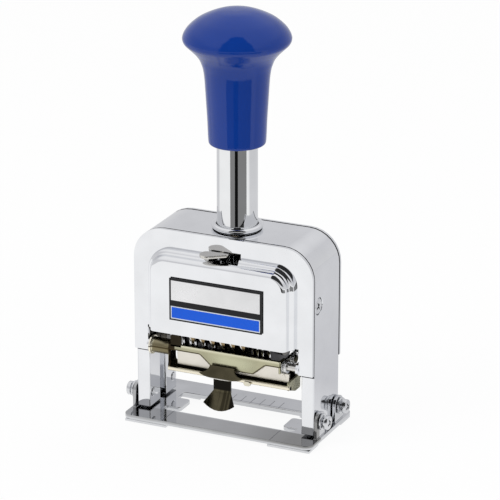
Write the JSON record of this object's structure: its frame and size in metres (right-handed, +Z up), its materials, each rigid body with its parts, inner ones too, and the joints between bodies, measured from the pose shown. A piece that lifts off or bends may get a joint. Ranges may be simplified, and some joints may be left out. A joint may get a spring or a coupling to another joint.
{
  "type": "numbering machine",
  "caption": "Hand numbering machine: a sprung plunger knob lowers number wheels through a boxed housing, past an ink carrier that swings aside, onto the paper in the base opening.",
  "frame": {"origin": "on the paper under the plunger's axis, at the centre of the feet's underside", "axes": "+Z up along the plunger, +X to the right along the wheel axle, +Y to the back, so the label faces -Y"},
  "size_m": [0.0758, 0.0364, 0.1457],
  "materials": {
    "chrome": "mirror-bright plate",
    "bright_steel": "bright",
    "nickel": "warm nickel plate",
    "yellow_zinc": "pale yellow zinc plate",
    "dark_brass": "darkened",
    "brass": "bright",
    "blackened_steel": "black oxide, inky",
    "spring_steel": "drawn",
    "blue_plastic": "gloss",
    "label_print": "printed plate: silver, black and blue bands",
    "ink_felt": "felt soaked with black ink"
  },
  "bodies": {
    "base": {"base_plate": "chrome", "foot_strip_front_left": "bright_steel", "foot_strip_front_right": "bright_steel", "foot_strip_rear_left": "bright_steel", "foot_strip_rear_right": "bright_steel", "base_screw_1": "bright_steel", "base_screw_2": "bright_steel", "base_screw_3": "bright_steel", "base_screw_4": "bright_steel", "base_washer_1": "bright_steel", "base_washer_2": "bright_steel", "base_washer_3": "bright_steel", "base_washer_4": "bright_steel", "frame": "chrome", "front_cover": "chrome", "back_cover": "chrome", "label_plate": "label_print", "cover_screw_left": "bright_steel", "cover_screw_right": "bright_steel", "guide_bush": "chrome", "spring_pin": "bright_steel", "spring_seat": "bright_steel", "selector_clip": "bright_steel", "carrier_pin_left": "bright_steel", "carrier_pin_right": "bright_steel"},
    "plunger": {"knob": "blue_plastic", "plunger_tube": "chrome", "spring_cap": "bright_steel", "main_spring": "spring_steel", "carriage": "bright_steel", "wheel_axle": "bright_steel", "detent_rod": "bright_steel", "axle_clip_left": "bright_steel", "axle_clip_right": "bright_steel", "end_spacer_left": "blackened_steel", "end_spacer_right": "blackened_steel", "detent_comb": "brass"},
    "wheel_1": {"number_wheel_1": "blackened_steel"},
    "wheel_2": {"number_wheel_2": "blackened_steel"},
    "wheel_3": {"number_wheel_3": "blackened_steel"},
    "wheel_4": {"number_wheel_4": "blackened_steel"},
    "wheel_5": {"number_wheel_5": "blackened_steel"},
    "wheel_6": {"number_wheel_6": "blackened_steel"},
    "yoke": {"pawl_yoke": "bright_steel", "pawl_comb": "spring_steel"},
    "carrier": {"ink_carrier": "yellow_zinc", "carrier_link": "chrome", "link_pin": "brass", "ink_tray": "nickel", "ink_pad": "ink_felt", "tray_tab": "dark_brass", "tray_clip": "nickel"},
    "selector": {"repeat_selector": "nickel"}
  },
  "joints": [
    {"name": "plunger_slide", "type": "slide", "parent": "base", "child": "plunger", "axis": [0, 0, -1], "range_m": [0, 0.0212], "stiffness_N_per_m": 400, "springref_m": -0.02, "deforming": ["main_spring"]},
    {"name": "wheel_1_spin", "type": "hinge", "parent": "plunger", "child": "wheel_1", "pos_m": [0, 0, 0.031], "axis": [1, 0, 0], "continuous": true},
    {"name": "wheel_2_spin", "type": "hinge", "parent": "plunger", "child": "wheel_2", "pos_m": [0, 0, 0.031], "axis": [1, 0, 0], "continuous": true},
    {"name": "wheel_3_spin", "type": "hinge", "parent": "plunger", "child": "wheel_3", "pos_m": [0, 0, 0.031], "axis": [1, 0, 0], "continuous": true},
    {"name": "wheel_4_spin", "type": "hinge", "parent": "plunger", "child": "wheel_4", "pos_m": [0, 0, 0.031], "axis": [1, 0, 0], "continuous": true},
    {"name": "wheel_5_spin", "type": "hinge", "parent": "plunger", "child": "wheel_5", "pos_m": [0, 0, 0.031], "axis": [1, 0, 0], "continuous": true},
    {"name": "wheel_6_spin", "type": "hinge", "parent": "plunger", "child": "wheel_6", "pos_m": [0, 0, 0.031], "axis": [1, 0, 0], "continuous": true},
    {"name": "yoke_swing", "type": "hinge", "parent": "plunger", "child": "yoke", "pos_m": [0, 0, 0.031], "axis": [-1, 0, 0], "range_deg": [0, 36]},
    {"name": "carrier_swing", "type": "hinge", "parent": "base", "child": "carrier", "pos_m": [0, -0.011, 0.0272], "axis": [-1, 0, 0], "range_deg": [0, 100]},
    {"name": "selector_turn", "type": "hinge", "parent": "base", "child": "selector", "pos_m": [0, 0, 0.0638], "axis": [0, 0, 1], "range_deg": [0, 14]}
  ],
  "couplings": [
    {"joint": "yoke_swing", "follows": "plunger_slide", "rad_per_m": 29.6},
    {"joint": "carrier_swing", "follows": "plunger_slide", "rad_per_m": 82.3}
  ]
}
